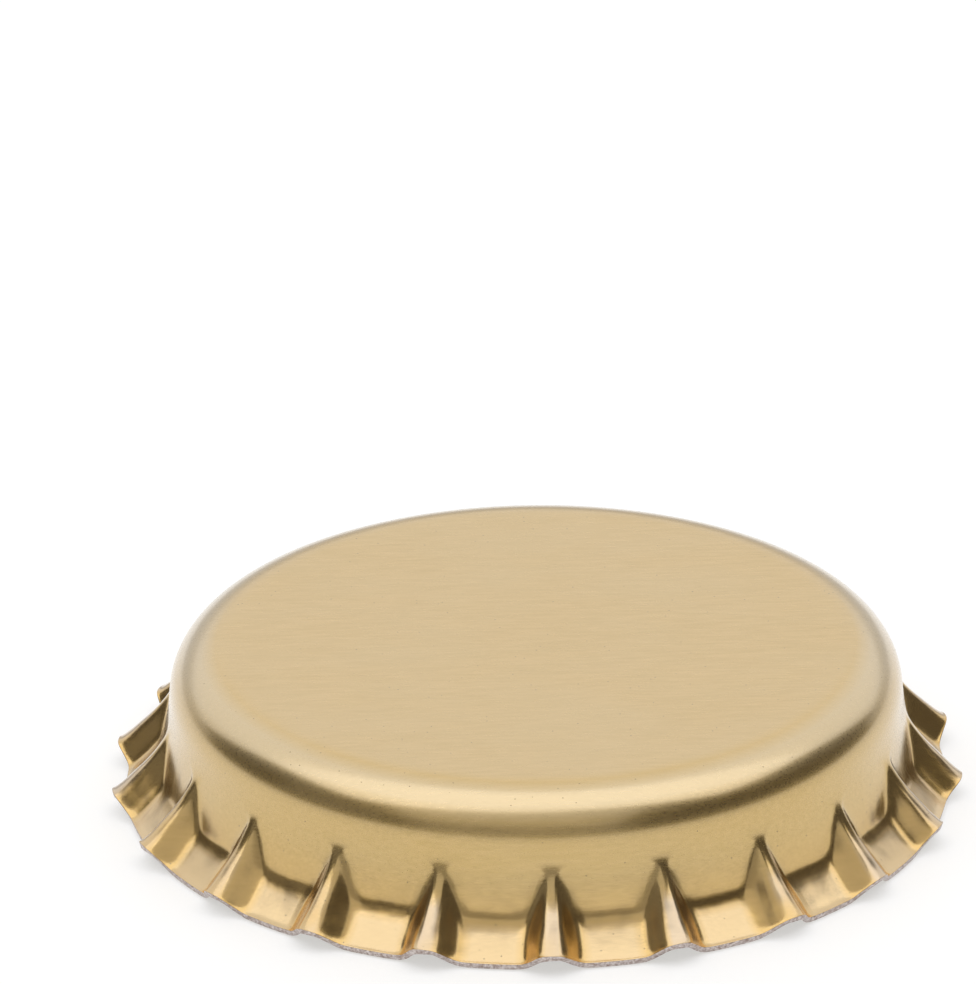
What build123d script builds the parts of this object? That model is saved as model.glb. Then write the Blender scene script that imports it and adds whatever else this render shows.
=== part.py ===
"""A 26 mm crown cap: a pressed tinplate shell with 21 flutes and a soft sealing liner.

Millimetres, +Z up.  The cap stands as it would on a bench, panel upwards: the origin is on
its axis, in the plane that the lips between the flutes stand on, and one flute points along -Y.
"""

import os
from math import asin, atan2, cos, degrees, hypot, radians, sin, tan

from build123d import *

# Driving dimensions, in millimetres and degrees.

sheet = 0.24  # tinplate, lacquered on both sides
cap_height = 6.10
crest_diameter = 32.10  # outside, over the tips of the flutes
skirt_diameter = 27.50  # outside, of the straight band just under the corner
corner_radius = 1.85  # outside, between the panel and the skirt
band_height = 0.50  # straight part of the skirt, which grips the bottle's mouth
skirt_angle = 9.5  # taper of the rest of the skirt, from the vertical
knee_height = 1.30  # where the skirt breaks into the lips
lip_angle = 46.0  # flare of the lips, from the vertical

flute_count = 21
flute_top = 3.30  # where a flute's crest leaves the skirt
tip_height = 0.84  # outer edge of a flute's crest, which is clear of the bench
flute_top_flank = 50.0  # half angle of the fold, where it starts
flute_knee_width = 2.80  # foot of a flute, level with the knee
flute_rim_width = 2.12  # foot of a flute, level with the bench
fold_radius = 0.08  # inside the fold, along a flute's crest

liner_gap = 0.02  # between the liner and the skirt
liner_disc = 0.30  # thickness of the liner's centre
liner_bead = 1.00  # thickness of the liner's sealing bead
bead_width = 2.14  # across the sealing bead

# Sizes that follow from them.

skirt_slope = radians(skirt_angle)
lip_slope = radians(lip_angle)

panel_under = cap_height - sheet
corner_height = cap_height - corner_radius
corner_centre = skirt_diameter / 2 - corner_radius
band_foot = corner_height - band_height
knee_radius = skirt_diameter / 2 + (band_foot - knee_height) * tan(skirt_slope)
tip_radius = crest_diameter / 2

# The walls are drawn on past the rim, and then cut back to it.
overrun = 0.60

# The flutes are drawn solid to this depth, past the inside of the wall, and then hollowed.
root_depth = 2.00


def skirt_radius(height):
    """Outside radius of the skirt or the lips, at a height under the band."""
    if height > knee_height:
        return skirt_diameter / 2 + (band_foot - height) * tan(skirt_slope)
    return knee_radius + (knee_height - height) * tan(lip_slope)


# The cut edge lies on one cone all round, through the flutes' tips and the lips' inner
# corners, which the cap stands on.
stand_radius = skirt_radius(0) - sheet / cos(lip_slope)
edge_slope = atan2(tip_height, tip_radius - stand_radius)

crest_slope = atan2(tip_radius - skirt_radius(flute_top), flute_top - tip_height)


def crest_radius(height):
    """Outside radius of a flute's crest at a height: the crest is straight."""
    return tip_radius + (tip_height - height) * tan(crest_slope)


def mitre(radius, height, slope_above, slope_below, inset):
    """A corner of the wall's outline, moved inwards by inset."""
    middle = (slope_above + slope_below) / 2
    reach = inset / cos((slope_below - slope_above) / 2)
    return (radius - reach * cos(middle), height - reach * sin(middle))


def filled_wall(inset):
    """The cap with no flutes, solid to its axis and inset from its outside."""
    band = skirt_diameter / 2 - inset
    band_end = mitre(skirt_diameter / 2, band_foot, 0, skirt_slope, inset)
    knee = mitre(knee_radius, knee_height, skirt_slope, lip_slope, inset)
    foot = mitre(skirt_radius(-overrun), -overrun, lip_slope, lip_slope, inset)
    with BuildPart() as wall:
        with BuildSketch(Plane.XZ):
            with BuildLine():
                Polyline((0, foot[1]), (0, cap_height - inset), (corner_centre, cap_height - inset))
                CenterArc((corner_centre, corner_height), corner_radius - inset, 0, 90)
                Polyline((band, corner_height), band_end, knee, foot, (0, foot[1]))
            make_face()
        revolve(axis=Axis.Z)
    return wall.part


def flank_angle(height, foot_width):
    """Half angle of a fold that is foot_width wide where it leaves the wall."""
    bend = fold_radius + sheet
    reach = crest_radius(height) - bend - skirt_radius(height)
    return atan2(foot_width / 2, reach) - asin(bend / hypot(foot_width / 2, reach))


def flute_section(height, flank, inset):
    """Face of one flute at a height: a fold of the sheet, with its crest along +X.

    An arc turns over the crest, and a straight flank leaves it on each side.  The inset moves
    all of them inwards by the same amount, so the fold keeps the sheet's thickness.
    """
    bend = fold_radius + sheet
    radius = bend - inset
    # The crest leans outwards, so a level cut through it is longer than the sheet is thick.
    centre = crest_radius(height) - bend - inset * (1 / cos(crest_slope) - 1)
    turn = (centre + radius * sin(flank), radius * cos(flank))
    root = skirt_radius(height) - root_depth
    foot = (root, turn[1] + (turn[0] - root) * tan(flank))
    with BuildSketch(Plane.XY.offset(height)) as section:
        with BuildLine():
            Line((foot[0], -foot[1]), (turn[0], -turn[1]))
            ThreePointArc((turn[0], -turn[1]), (centre + radius, 0), turn)
            Polyline(turn, foot, (foot[0], -foot[1]))
        make_face()
    return section.sketch


def solid_flute(inset):
    """One flute along +X, solid through to inside the wall."""
    # The top face is hidden in the wall, where the crest is half the sheet deep.
    top_height = flute_top + sheet / 2 / (tan(crest_slope) - tan(skirt_slope))
    narrowing = (flute_knee_width - flute_rim_width) / knee_height
    foot_width = flute_knee_width - narrowing * (knee_height + overrun)
    with BuildPart() as fold:
        loft(
            [
                flute_section(top_height, radians(flute_top_flank), inset),
                flute_section(knee_height, flank_angle(knee_height, flute_knee_width), inset),
                flute_section(-overrun, flank_angle(-overrun, foot_width), inset),
            ],
            ruled=True,
        )
    return fold.part


# The shell: the outside solid less the inside solid, cut back to the rim.

with BuildPart() as crown_shell:
    add(filled_wall(0))
    with PolarLocations(0, flute_count, start_angle=-90):
        add(solid_flute(0))
    add(filled_wall(sheet), mode=Mode.SUBTRACT)
    with PolarLocations(0, flute_count, start_angle=-90):
        add(solid_flute(sheet), mode=Mode.SUBTRACT)
    with BuildSketch(Plane.XZ):
        with BuildLine():
            inner_radius = stand_radius - overrun
            outer_radius = crest_radius(-overrun) + overrun
            inner = (inner_radius, (inner_radius - stand_radius) * tan(edge_slope))
            outer = (outer_radius, (outer_radius - stand_radius) * tan(edge_slope))
            bottom = inner[1] - overrun
            Polyline(inner, outer, (outer[0], bottom), (inner[0], bottom), inner)
        make_face()
    revolve(axis=Axis.Z, mode=Mode.SUBTRACT)

crown_shell.part.label = "crown_shell"

# The liner: a thin moulded disc with a rounded bead round it, seated up inside the corner.

with BuildPart() as sealing_liner:
    with BuildSketch(Plane.XZ):
        with BuildLine():
            seat_radius = corner_radius - sheet
            seat_centre = corner_centre - liner_gap
            disc_foot = panel_under - liner_disc
            bead_foot = panel_under - liner_bead
            # The bead runs out onto the corner a little above its lowest line.
            leave_height = bead_foot + liner_bead / 4
            leave_angle = asin((leave_height - corner_height) / seat_radius)
            leave = (seat_centre + seat_radius * cos(leave_angle), leave_height)
            step = (leave[0] - bead_width, disc_foot)
            lowest = ((leave[0] + step[0]) / 2, bead_foot)
            Polyline(step, (0, disc_foot), (0, panel_under), (seat_centre, panel_under))
            start = degrees(leave_angle)
            CenterArc((seat_centre, corner_height), seat_radius, start, 90 - start)
            TangentArc(lowest, leave, tangent=(1, 0))
            TangentArc(lowest, step, tangent=(-1, 0))
        make_face()
    revolve(axis=Axis.Z)

sealing_liner.part.label = "sealing_liner"

os.makedirs("parts", exist_ok=True)
for piece in (crown_shell, sealing_liner):
    export_step(piece.part, f"parts/{piece.part.label}.step")
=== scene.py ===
import math
import random

import bmesh
import bpy
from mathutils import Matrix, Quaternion, Vector


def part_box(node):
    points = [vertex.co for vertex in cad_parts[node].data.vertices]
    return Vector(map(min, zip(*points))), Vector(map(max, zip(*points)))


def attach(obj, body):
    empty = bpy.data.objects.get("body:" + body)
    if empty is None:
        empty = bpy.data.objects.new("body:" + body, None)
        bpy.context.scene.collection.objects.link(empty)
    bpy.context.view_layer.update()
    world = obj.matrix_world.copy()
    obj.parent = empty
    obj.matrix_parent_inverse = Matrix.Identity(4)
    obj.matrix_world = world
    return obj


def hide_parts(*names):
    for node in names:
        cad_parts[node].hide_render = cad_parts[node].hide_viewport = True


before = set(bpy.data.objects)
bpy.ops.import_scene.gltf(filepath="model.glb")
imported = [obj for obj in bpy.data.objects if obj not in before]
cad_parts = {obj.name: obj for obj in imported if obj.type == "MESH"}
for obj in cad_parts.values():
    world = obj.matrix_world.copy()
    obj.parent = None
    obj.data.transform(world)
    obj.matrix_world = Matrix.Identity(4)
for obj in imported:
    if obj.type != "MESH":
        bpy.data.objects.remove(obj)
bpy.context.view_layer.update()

MM = 0.001

# Sizes taken from the frame.

PANEL_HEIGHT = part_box("crown_shell")[1].z
SHEET = PANEL_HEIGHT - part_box("sealing_liner")[1].z

# The flutes round the cap, and the angle from one to the next.

FLUTES = 21
PITCH = 2 * math.pi / FLUTES

# The pressed corner between the panel and the skirt, outside.

SKIRT_RADIUS = 13.75 * MM
CORNER_RADIUS = 1.85 * MM
CORNER_CENTRE = SKIRT_RADIUS - CORNER_RADIUS
CORNER_HEIGHT = PANEL_HEIGHT - CORNER_RADIUS

# One flute.  Column 0 is its crest, and the last column is the middle of a lip.

COLUMNS = 12  # across a flute and half a lip on each side
FOLD_RISE = (1.0, 0.985, 0.87, 0.41, 0.05, 0.0)  # how far each column stands out, crest to foot
CREASE_GAP = 0.28 * MM  # from a flute's foot to the next column

PANEL_RINGS = (0.0, 4.0, 8.0, 10.8, 11.55)  # millimetres, with the axis first
CORNER_RINGS = (88, 68, 48, 28, 10)  # degrees round the corner, above the skirt
BAND_RINGS = ((13.755, 4.05), (13.79, 3.66))  # radius and height, in millimetres

# Down the fluted wall, in millimetres: radius and height between the flutes, radius and height
# of a crest, half the width of the crest's round, and half the width of the flute's foot.

WALL_RINGS = (
    (13.86, 3.28, 13.865, 3.28, 0.10, 0.24),
    (13.92, 2.88, 14.06, 2.92, 0.17, 0.40),
    (14.01, 2.36, 14.40, 2.43, 0.24, 0.56),
    (14.08, 1.92, 14.80, 2.00, 0.31, 0.71),
    (14.14, 1.60, 15.12, 1.69, 0.36, 0.81),
    (14.23, 1.38, 15.33, 1.48, 0.39, 0.90),
    (14.53, 1.03, 15.58, 1.23, 0.43, 1.00),
    (14.90, 0.66, 15.80, 1.03, 0.46, 1.06),
    (15.18, 0.39, 15.95, 0.92, 0.47, 1.07),
    (15.32, 0.295, 16.02, 0.88, 0.48, 1.07),
    (15.45, 0.262, 16.065, 0.865, 0.48, 1.07),
)

# How one flute differs from the next at its rim, in millimetres, and how far each column from
# the crest outwards follows it.

SEED = 21
LEAN = 0.16  # to either side
DRAW_IN = 0.10  # towards the axis
DROOP = 0.08  # up or down
BEND_SHARE = (1.0, 1.0, 1.0, 0.6, 0.2)

# Finishing the sheet.

SPIN_WELD = MM / 1000
SEAM_WELD = MM / 200
EDGE_ROUND = 0.025 * MM
EDGE_ANGLE = math.radians(60)
SMOOTH_ANGLE = math.radians(50)

# Painted highlight on the lips and the corner, from 0 to 1: paler lacquer that stands in for
# their creamy highlights, and partly also for lacquer that the press has thinned.

HIGHLIGHT_ON_LIPS = 1.0
HIGHLIGHT_ON_CORNER = 0.65


def deselect():
    """Leave edit mode and select nothing."""
    if bpy.context.object and bpy.context.object.mode != "OBJECT":
        bpy.ops.object.mode_set(mode="OBJECT")
    bpy.ops.object.select_all(action="DESELECT")


def work_on(piece):
    """Make one piece the only selected one."""
    deselect()
    piece.select_set(True)
    bpy.context.view_layer.objects.active = piece


def edit(piece):
    """Open one piece in edit mode with nothing selected."""
    work_on(piece)
    bpy.ops.object.mode_set(mode="EDIT")
    bpy.ops.mesh.select_mode(type="VERT")
    bpy.ops.mesh.select_all(action="DESELECT")


def pick(piece, numbers):
    """In edit mode, select only the vertices with these numbers."""
    mesh = bmesh.from_edit_mesh(piece.data)
    for vertex in mesh.verts:
        vertex.select = vertex.index in numbers
    mesh.select_flush(True)
    mesh.select_flush(False)
    bmesh.update_edit_mesh(piece.data)


def swing(turn):
    """Turn what is selected about the cap's axis, positive from -Y towards +X."""
    bpy.ops.transform.rotate(value=-turn, orient_axis="Z", center_override=(0, 0, 0))


def spread(scale):
    """Scale what is selected away from the cap's axis."""
    bpy.ops.transform.resize(value=(scale, scale, 1), center_override=(0, 0, 0))


def lift(height):
    """Move what is selected along the cap's axis."""
    bpy.ops.transform.translate(value=(0, 0, height))


def apply_modifier(piece, kind, name, **settings):
    """Add a modifier, set it and apply it."""
    work_on(piece)
    modifier = piece.modifiers.new(name, kind)
    for key, value in settings.items():
        setattr(modifier, key, value)
    bpy.ops.object.modifier_apply(modifier=name)


# The crown shell.


def shell_profile():
    """Points (radius, height) down the sheet's outside, between two flutes, from the axis."""
    panel = [(radius * MM, PANEL_HEIGHT) for radius in PANEL_RINGS]
    corner = []
    for degrees in CORNER_RINGS:
        turn = math.radians(degrees)
        corner.append((CORNER_CENTRE + CORNER_RADIUS * math.cos(turn),
                       CORNER_HEIGHT + CORNER_RADIUS * math.sin(turn)))
    band = [(radius * MM, height * MM) for radius, height in BAND_RINGS]
    wall = [(ring[0] * MM, ring[1] * MM) for ring in WALL_RINGS]
    return panel + corner + band + wall


def draw_profile(name, points):
    """One vertex at the first point, extruded from point to point in the plane X = 0."""
    deselect()
    bpy.ops.mesh.primitive_plane_add(size=MM, location=(0, 0, 0))
    piece = bpy.context.object
    piece.name = name
    bpy.ops.object.mode_set(mode="EDIT")
    bpy.ops.mesh.select_all(action="SELECT")
    bpy.ops.mesh.merge(type="CENTER")
    bpy.ops.transform.translate(value=(0, -points[0][0], points[0][1]))
    for start, end in zip(points, points[1:]):
        step = (0, start[0] - end[0], end[1] - start[1])
        bpy.ops.mesh.extrude_region_move(TRANSFORM_OT_translate={"value": step})
    return piece


def flute_sector():
    """One flute with half a lip on each side: the profile spun through one pitch, then folded."""
    points = shell_profile()
    piece = draw_profile("crown_sector", points)
    bpy.ops.mesh.select_all(action="SELECT")
    swing(-PITCH / 2)
    bpy.ops.mesh.select_all(action="SELECT")
    bpy.ops.mesh.spin(steps=COLUMNS, angle=-PITCH, center=(0, 0, 0), axis=(0, 0, 1))
    bpy.ops.mesh.select_all(action="SELECT")
    bpy.ops.mesh.remove_doubles(threshold=SPIN_WELD)
    grid = number_grid(piece, points)
    fold_flute(piece, grid, len(points))
    deselect()
    mark_wear_and_highlight(piece, grid, len(points))
    return piece, grid


def number_grid(piece, points):
    """The (ring, column) of each vertex by its number, found from its place."""
    mesh = bmesh.from_edit_mesh(piece.data)
    mesh.verts.index_update()
    grid = {}
    for vertex in mesh.verts:
        radius = math.hypot(vertex.co.x, vertex.co.y)
        gaps = [math.hypot(point[0] - radius, point[1] - vertex.co.z) for point in points]
        turn = math.atan2(vertex.co.x, -vertex.co.y) if radius > MM / 10 else 0.0
        grid[vertex.index] = (gaps.index(min(gaps)), round(turn * COLUMNS / PITCH))
    return grid


def fold_flute(piece, grid, rings):
    """Push the middle columns out and draw the others in towards them, ring by ring."""
    first = rings - len(WALL_RINGS)
    for ring, sizes in enumerate(WALL_RINGS, first):
        radius, height, crest_radius, crest_height, crest, foot = (size * MM for size in sizes)
        places = (0.0, crest / 2, crest, (crest + foot) / 2, foot, foot + CREASE_GAP)
        for column, rise in enumerate(FOLD_RISE):
            out = radius + (crest_radius - radius) * rise
            for side in (1, -1) if column else (1,):
                here = (ring, column * side)
                pick(piece, {number for number, place in grid.items() if place == here})
                spread(out / radius)
                lift((crest_height - height) * rise)
                swing(side * (places[column] / out - column * PITCH / COLUMNS))


def mark_wear_and_highlight(piece, grid, rings):
    """Where the lacquer is worn, on the crests, and where the lips and the corner carry a painted
    highlight as paler lacquer.
    """
    first = rings - len(WALL_RINGS)
    corner = len(PANEL_RINGS)
    worn = piece.data.attributes.new("crest_wear", "FLOAT", "POINT")
    highlight = piece.data.attributes.new("painted_highlight", "FLOAT", "POINT")
    for number, (ring, column) in grid.items():
        on_crest = ring >= first + 3 and abs(column) <= 1
        on_lip = ring >= first + 6 and abs(column) >= 5
        on_corner = ring in (corner + 1, corner + 2)
        worn.data[number].value = 1.0 if on_crest else 0.0
        # Painted highlight: the lips and the corner are marked for paler, creamier lacquer.
        highlight.data[number].value = HIGHLIGHT_ON_LIPS if on_lip else HIGHLIGHT_ON_CORNER if on_corner else 0.0


def bend_flute(piece, grid, hand, rings):
    """Small differences between one flute and the next, as the press leaves them."""
    first = rings - len(WALL_RINGS)
    lean = hand.uniform(-LEAN, LEAN) * MM
    reach = hand.uniform(-DRAW_IN, 0.0) * MM
    droop = hand.uniform(-DROOP, DROOP) * MM
    edit(piece)
    for ring in range(first + 1, rings):
        share = (ring - first) / (rings - 1 - first)
        radius = WALL_RINGS[ring - first][2] * MM
        for column, part in enumerate(BEND_SHARE):
            places = {(ring, column), (ring, -column)}
            pick(piece, {number for number, place in grid.items() if place in places})
            swing(lean * share * part / radius)
            spread(1 + reach * share * part / radius)
            lift(droop * share * part)
    deselect()


def crown_shell(finishes):
    """Twenty-one flutes joined round the axis, smoothed, and given the sheet's thickness."""
    sector, grid = flute_sector()
    rings = len(shell_profile())
    hand = random.Random(SEED)
    flutes = []
    for number in range(FLUTES):
        flute = sector.copy()
        flute.data = sector.data.copy()
        flute.name = f"crown_flute_{number}"
        bpy.context.collection.objects.link(flute)
        bend_flute(flute, grid, hand, rings)
        edit(flute)
        bpy.ops.mesh.select_all(action="SELECT")
        swing(number * PITCH)
        deselect()
        flutes.append(flute)
    bpy.data.objects.remove(sector)
    for flute in flutes:
        flute.select_set(True)
    shell = flutes[0]
    bpy.context.view_layer.objects.active = shell
    bpy.ops.object.join()
    shell.name = "crown_shell_pressed"
    edit(shell)
    bpy.ops.mesh.select_all(action="SELECT")
    bpy.ops.mesh.remove_doubles(threshold=SEAM_WELD)
    bpy.ops.mesh.normals_make_consistent(inside=False)
    deselect()
    for finish in finishes:
        shell.data.materials.append(finish)
    apply_modifier(shell, "SUBSURF", "smooth_press", levels=1, render_levels=1)
    apply_modifier(shell, "SOLIDIFY", "sheet", thickness=SHEET, offset=-1.0,
                   use_even_offset=True, use_quality_normals=True,
                   material_offset=1, material_offset_rim=2)
    apply_modifier(shell, "BEVEL", "cut_edge", width=EDGE_ROUND, segments=2,
                   limit_method="ANGLE", angle_limit=EDGE_ANGLE)
    work_on(shell)
    bpy.ops.object.shade_smooth_by_angle(angle=SMOOTH_ANGLE)
    return shell


# Materials.  The grain's scales are in cycles a metre.

GOLD_DEEP = (0.545, 0.376, 0.130, 1)
GOLD_BRIGHT = (0.605, 0.418, 0.160, 1)
GOLD_CLOUD = (0.58, 0.425, 0.19, 1)
# Painted highlight: the creamy gold of the lips and the corner, painted as paler lacquer.
GOLD_HIGHLIGHT = (0.62, 0.53, 0.38, 1)
# Painted shade: darker, deeper gold for the low parts of the flutes, where they reflect one
# another.
GOLD_LOW_SHADE = (0.62, 0.385, 0.11, 1)
GOLD_WORN = (0.56, 0.46, 0.35, 1)
SPECK_BROWN = (0.22, 0.16, 0.08, 1)
INSIDE_DEEP = (0.60, 0.53, 0.40, 1)
INSIDE_BRIGHT = (0.70, 0.63, 0.50, 1)
STEEL_DARK = (0.33, 0.25, 0.22, 1)
STEEL_BRIGHT = (0.72, 0.66, 0.64, 1)
LINER_DULL = (0.70, 0.70, 0.69, 1)
LINER_PALE = (0.80, 0.80, 0.79, 1)
FLOOR_GREY = (0.53, 0.53, 0.53, 1)
FLOOR_GLOW = 0.50  # for the camera and in reflections only, so that the floor shows white

SPECK_CELL = 0.16 * MM
SPECK_RARITY = 0.965  # share of the cells that have no speck
SPECK_REACH = 0.16  # radius of a speck, in cells


def new_material(name):
    """A material, with its nodes, its links and its main shader."""
    material = bpy.data.materials.new(name)
    material.use_nodes = True
    nodes = material.node_tree.nodes
    return material, nodes, material.node_tree.links, nodes["Principled BSDF"]


def node(nodes, kind, **settings):
    """A shader node, with its properties and, by name, the values of its inputs."""
    made = nodes.new(kind)
    for key, value in settings.items():
        if hasattr(made, key):
            setattr(made, key, value)
        else:
            made.inputs[key.replace("_", " ")].default_value = value
    return made


def put(links, value, socket):
    """Set a socket to a plain number or colour, or link it to another node's socket."""
    if isinstance(value, bpy.types.NodeSocket):
        links.new(value, socket)
    else:
        socket.default_value = value


def combine(nodes, links, operation, first, second):
    """One number worked out from two."""
    made = node(nodes, "ShaderNodeMath", operation=operation)
    put(links, first, made.inputs[0])
    put(links, second, made.inputs[1])
    return made.outputs["Value"]


def blend(nodes, links, amount, first, second):
    """One colour moving to another."""
    mixed = node(nodes, "ShaderNodeMixRGB")
    put(links, first, mixed.inputs["Color1"])
    put(links, second, mixed.inputs["Color2"])
    links.new(amount, mixed.inputs["Fac"])
    return mixed.outputs["Color"]


def ranged(nodes, links, value, low, high, to_low, to_high):
    """A value moved from one range to another, and kept inside it."""
    shift = node(nodes, "ShaderNodeMapRange")
    shift.inputs["From Min"].default_value = low
    shift.inputs["From Max"].default_value = high
    shift.inputs["To Min"].default_value = to_low
    shift.inputs["To Max"].default_value = to_high
    links.new(value, shift.inputs["Value"])
    return shift.outputs["Result"]


def relief(nodes, links, height, strength, depth, over=None):
    """The surface's normal, tipped by a height, over another relief if one is given."""
    bump = node(nodes, "ShaderNodeBump", Distance=depth)
    put(links, strength, bump.inputs["Strength"])
    links.new(height, bump.inputs["Height"])
    if over:
        links.new(over, bump.inputs["Normal"])
    return bump.outputs["Normal"]


def grain(nodes, links, name, stretch, detail):
    """Noise on the object's own coordinates; X is the sheet's rolling direction."""
    place = node(nodes, "ShaderNodeTexCoord")
    mapping = node(nodes, "ShaderNodeMapping")
    mapping.inputs["Scale"].default_value = stretch
    noise = node(nodes, "ShaderNodeTexNoise", Scale=1.0, Detail=detail, Roughness=0.6)
    noise.label = name
    links.new(place.outputs["Object"], mapping.inputs["Vector"])
    links.new(mapping.outputs["Vector"], noise.inputs["Vector"])
    return noise.outputs["Fac"]


def height_on_cap(nodes, links):
    """The height above the bench, in metres."""
    place = node(nodes, "ShaderNodeTexCoord")
    parts = node(nodes, "ShaderNodeSeparateXYZ")
    links.new(place.outputs["Object"], parts.inputs["Vector"])
    return parts.outputs["Z"]


def own_attribute(nodes, name):
    """The number that the mesh carries under this name."""
    return node(nodes, "ShaderNodeAttribute", attribute_name=name).outputs["Fac"]


def specks(nodes, links):
    """A few tiny round marks scattered over the surface: 1 in a mark, 0 elsewhere."""
    place = node(nodes, "ShaderNodeTexCoord")
    cells = node(nodes, "ShaderNodeTexVoronoi", Scale=1 / SPECK_CELL)
    links.new(place.outputs["Object"], cells.inputs["Vector"])
    chosen = node(nodes, "ShaderNodeSeparateColor")
    links.new(cells.outputs["Color"], chosen.inputs["Color"])
    here = combine(nodes, links, "GREATER_THAN", chosen.outputs["Red"], SPECK_RARITY)
    near = combine(nodes, links, "LESS_THAN", cells.outputs["Distance"], SPECK_REACH)
    return combine(nodes, links, "MULTIPLY", here, near)


def gold_colour(nodes, links, coarse, cloudy, height):
    """Gold with a long grain and clouds: paler on the lips and corner as a painted highlight,
    darker and warmer low down as painted shade, worn and specked.
    """
    grained = ranged(nodes, links, coarse, 0.3, 0.7, 0.0, 1.0)
    colour = blend(nodes, links, grained, GOLD_DEEP, GOLD_BRIGHT)
    clouded = ranged(nodes, links, cloudy, 0.35, 0.65, 0.0, 0.35)
    colour = blend(nodes, links, clouded, colour, GOLD_CLOUD)
    # Painted highlight: the lips and the corner turn paler and creamier.
    highlighted = ranged(nodes, links, own_attribute(nodes, "painted_highlight"), 0.0, 1.0, 0.0, 0.8)
    colour = blend(nodes, links, highlighted, colour, GOLD_HIGHLIGHT)
    # Painted shade: the flutes turn a darker, deeper gold towards the bottom.
    low_down = ranged(nodes, links, height, 1.6 * MM, 3.0 * MM, 0.45, 0.0)
    colour = blend(nodes, links, low_down, colour, GOLD_LOW_SHADE)
    patchy = ranged(nodes, links, cloudy, 0.38, 0.60, 0.10, 0.75)
    worn = combine(nodes, links, "MULTIPLY", own_attribute(nodes, "crest_wear"), patchy)
    colour = blend(nodes, links, worn, colour, GOLD_WORN)
    return blend(nodes, links, specks(nodes, links), colour, SPECK_BROWN)


def gold_lacquer():
    """Gold lacquer over rolled tinplate: a fine straight grain, satin on the panel."""
    material, nodes, links, shader = new_material("gold_lacquer")
    shader.inputs["Metallic"].default_value = 1.0
    shader.inputs["Coat Weight"].default_value = 1.0
    shader.inputs["Coat Roughness"].default_value = 0.16
    shader.inputs["Coat IOR"].default_value = 1.55
    fine = grain(nodes, links, "fine grain", (1800, 14000, 14000), 2.0)
    coarse = grain(nodes, links, "long grain", (700, 7000, 7000), 2.0)
    cloudy = grain(nodes, links, "clouds", (150, 260, 260), 2.0)
    uneven = grain(nodes, links, "press marks", (900, 900, 700), 1.0)
    height = height_on_cap(nodes, links)
    links.new(gold_colour(nodes, links, coarse, cloudy, height), shader.inputs["Base Color"])
    satin = ranged(nodes, links, height, 2.6 * MM, 5.2 * MM, 0.23, 0.30)
    speckle = ranged(nodes, links, fine, 0.3, 0.7, -0.04, 0.04)
    links.new(combine(nodes, links, "ADD", satin, speckle), shader.inputs["Roughness"])
    low_down = ranged(nodes, links, height, 2.2 * MM, 3.4 * MM, 0.6, 0.0)
    pressed = relief(nodes, links, uneven, low_down, 0.07 * MM)
    links.new(relief(nodes, links, fine, 0.28, 0.004 * MM, pressed), shader.inputs["Normal"])
    return material


def inside_lacquer():
    """Pale champagne lacquer on the inside of the shell."""
    material, nodes, links, shader = new_material("inside_lacquer")
    shader.inputs["Metallic"].default_value = 1.0
    fine = grain(nodes, links, "fine grain", (1500, 16000, 16000), 3.0)
    links.new(blend(nodes, links, fine, INSIDE_DEEP, INSIDE_BRIGHT), shader.inputs["Base Color"])
    links.new(ranged(nodes, links, fine, 0.3, 0.7, 0.26, 0.36), shader.inputs["Roughness"])
    return material


def cut_steel():
    """The blank's cut edge: bare, slightly grainy steel."""
    material, nodes, links, shader = new_material("cut_steel")
    shader.inputs["Metallic"].default_value = 1.0
    shader.inputs["Roughness"].default_value = 0.42
    speckle = grain(nodes, links, "shear marks", (9000, 9000, 9000), 3.0)
    bright = ranged(nodes, links, speckle, 0.35, 0.65, 0.0, 1.0)
    links.new(blend(nodes, links, bright, STEEL_DARK, STEEL_BRIGHT), shader.inputs["Base Color"])
    links.new(relief(nodes, links, speckle, 0.5, 0.01 * MM), shader.inputs["Normal"])
    return material


def liner_plastic():
    """Soft pale moulded plastic with a faint mould texture."""
    material, nodes, links, shader = new_material("liner_plastic")
    shader.inputs["Roughness"].default_value = 0.5
    shader.inputs["Subsurface Weight"].default_value = 0.1
    shader.inputs["Subsurface Scale"].default_value = 0.3 * MM
    mottle = grain(nodes, links, "mottle", (900, 900, 900), 4.0)
    links.new(blend(nodes, links, mottle, LINER_DULL, LINER_PALE), shader.inputs["Base Color"])
    links.new(relief(nodes, links, mottle, 0.3, 0.01 * MM), shader.inputs["Normal"])
    return material


def floor_white():
    """A floor that shows white and keeps the cap's shadow."""
    material, nodes, links, shader = new_material("floor_white")
    nodes.remove(shader)
    matte = node(nodes, "ShaderNodeBsdfDiffuse", Color=FLOOR_GREY)
    glow = node(nodes, "ShaderNodeEmission")
    rays = node(nodes, "ShaderNodeLightPath").outputs
    seen = combine(nodes, links, "MAXIMUM", rays["Is Camera Ray"], rays["Is Glossy Ray"])
    seen = combine(nodes, links, "MAXIMUM", seen, rays["Is Transmission Ray"])
    links.new(combine(nodes, links, "MULTIPLY", seen, FLOOR_GLOW), glow.inputs["Strength"])
    both = node(nodes, "ShaderNodeAddShader")
    links.new(matte.outputs["BSDF"], both.inputs[0])
    links.new(glow.outputs["Emission"], both.inputs[1])
    links.new(both.outputs["Shader"], nodes["Material Output"].inputs["Surface"])
    return material


# The studio, in metres.

FLOOR_SIZE = 6.0
ROOM_COLOUR = (0.11, 0.10, 0.09, 1)

# Each lamp's name, its place, the point it faces, its width and height, and its brightness.

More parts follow.
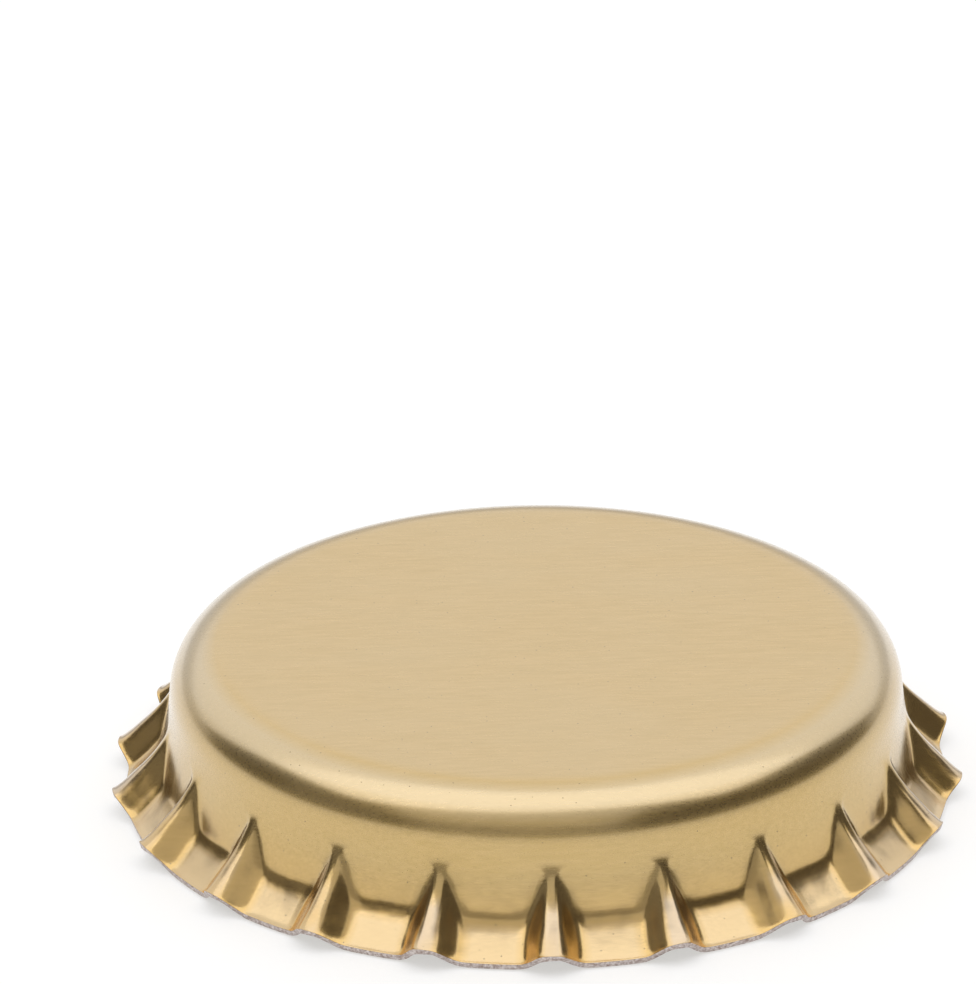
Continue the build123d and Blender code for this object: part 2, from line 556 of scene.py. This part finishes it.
CAP_MIDDLE = (0, 0, PANEL_HEIGHT / 2)
LAMPS = (
    ("over_box", (0, -0.12, 0.80), (0, -0.12, 0), 2.1, 0.76, 1.45),
    ("back_box", (0, 0.65, 0.64), CAP_MIDDLE, 2.6, 0.98, 0.97),
    ("low_back_box", (0, 1.10, 0.16), CAP_MIDDLE, 3.6, 0.33, 0.48),
    ("front_box", (-0.15, -0.80, 0.735), CAP_MIDDLE, 1.4, 0.66, 0.60),
    ("low_front_box", (-0.15, -1.10, 0.27), CAP_MIDDLE, 1.4, 0.5, 0.28),
    ("low_left_box", (-1.10, -0.45, 0.36), CAP_MIDDLE, 0.8, 0.5, 0.12),
)


def soft_box(name, location, aim, width, height, radiance):
    """A rectangular lamp facing a point, with the brightness that its face shows."""
    lamp = bpy.data.lights.new(name, "AREA")
    lamp.shape = "RECTANGLE"
    lamp.size = width
    lamp.size_y = height
    lamp.energy = radiance * math.pi * width * height
    holder = bpy.data.objects.new(name, lamp)
    bpy.context.collection.objects.link(holder)
    holder.location = location
    holder.rotation_mode = "QUATERNION"
    holder.rotation_quaternion = (Vector(aim) - Vector(location)).to_track_quat("-Z", "Y")
    holder.visible_camera = False


def studio():
    """The white floor, the lamps and a dim room."""
    deselect()
    bpy.ops.mesh.primitive_plane_add(size=FLOOR_SIZE, location=(0, 0, 0))
    floor = bpy.context.object
    floor.name = "studio_floor"
    floor.data.materials.append(floor_white())
    for lamp in LAMPS:
        soft_box(*lamp)
    world = bpy.data.worlds.new("studio_room")
    world.use_nodes = True
    world.node_tree.nodes["Background"].inputs["Color"].default_value = ROOM_COLOUR
    bpy.context.scene.world = world


# The camera: a long lens, 70 cm away.  Angles are in degrees, and the azimuth is from -Y.

CAMERA_DISTANCE = 0.70
CAMERA_AZIMUTH = -2.107
CAMERA_ELEVATION = 25.76
CAMERA_ROLL = -0.59
CAMERA_AIM = (-0.82 * MM, 26.66 * MM, 0.0)
LENS = 681.5  # millimetres, on a sensor 36 mm wide


def camera():
    """The camera, on its azimuth and elevation, turned to its aim and then rolled."""
    data = bpy.data.cameras.new("camera")
    data.lens = LENS
    data.sensor_width = 36.0
    data.clip_start = 0.05
    data.clip_end = 10.0
    holder = bpy.data.objects.new("camera", data)
    bpy.context.collection.objects.link(holder)
    azimuth = math.radians(CAMERA_AZIMUTH)
    elevation = math.radians(CAMERA_ELEVATION)
    holder.location = CAMERA_DISTANCE * Vector((math.sin(azimuth) * math.cos(elevation),
                                                -math.cos(azimuth) * math.cos(elevation),
                                                math.sin(elevation)))
    facing = (Vector(CAMERA_AIM) - holder.location).to_track_quat("-Z", "Y")
    holder.rotation_mode = "QUATERNION"
    holder.rotation_quaternion = facing @ Quaternion((0, 0, 1), math.radians(CAMERA_ROLL))
    bpy.context.scene.camera = holder


bpy.context.scene.view_settings.view_transform = "Standard"
camera()
studio()

shell = crown_shell((gold_lacquer(), inside_lacquer(), cut_steel()))
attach(shell, "root")
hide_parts("crown_shell")

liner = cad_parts["sealing_liner"]
liner.data.materials.clear()
liner.data.materials.append(liner_plastic())
